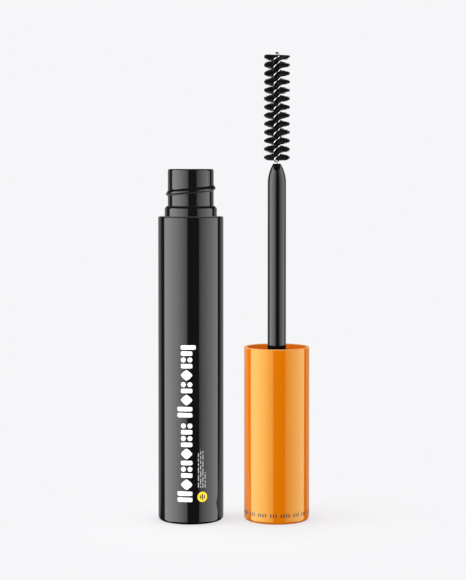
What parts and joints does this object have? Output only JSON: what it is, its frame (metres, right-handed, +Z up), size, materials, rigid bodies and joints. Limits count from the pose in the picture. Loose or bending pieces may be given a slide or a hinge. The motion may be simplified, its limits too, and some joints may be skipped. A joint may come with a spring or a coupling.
{
  "type": "mascara tube",
  "caption": "Mascara bottle with a threaded neck beside its twisted-wire brush applicator, which stands on its closed cap.",
  "frame": {"origin": "on the surface that the bottle and the cap stand on, midway between their axes", "axes": "+Z up along the bottle and the wand; +X from the bottle to the applicator; -Y towards the printed front"},
  "size_m": [0.0394, 0.017, 0.122],
  "materials": {
    "outer_tube": "polished black ABS",
    "vial": "polished black polypropylene",
    "wiper": "soft dark grey polyethylene",
    "cap_shell": "polished orange ABS",
    "inner_cap": "as-moulded black polypropylene",
    "seal_ring": "soft white sealing foam",
    "rod": "polished black acetal",
    "core_wire": "bright drawn stainless wire",
    "bristles": "black nylon fibre"
  },
  "bodies": {
    "bottle": {"outer_tube": "outer_tube", "vial": "vial", "wiper": "wiper"},
    "seal_ring": {"seal_ring": "seal_ring"},
    "applicator": {"cap_shell": "cap_shell", "inner_cap": "inner_cap", "rod": "rod", "core_wire": "core_wire", "bristles": "bristles"}
  },
  "joints": [
    {"name": "applicator_lift", "type": "slide", "parent": "bottle", "child": "seal_ring", "axis": [0, 0, 1], "range_m": [0, 0.1]},
    {"name": "applicator_turn", "type": "hinge", "parent": "seal_ring", "child": "applicator", "pos_m": [0.0112, 0, 0.0326], "axis": [0, 0, 1], "continuous": true}
  ]
}
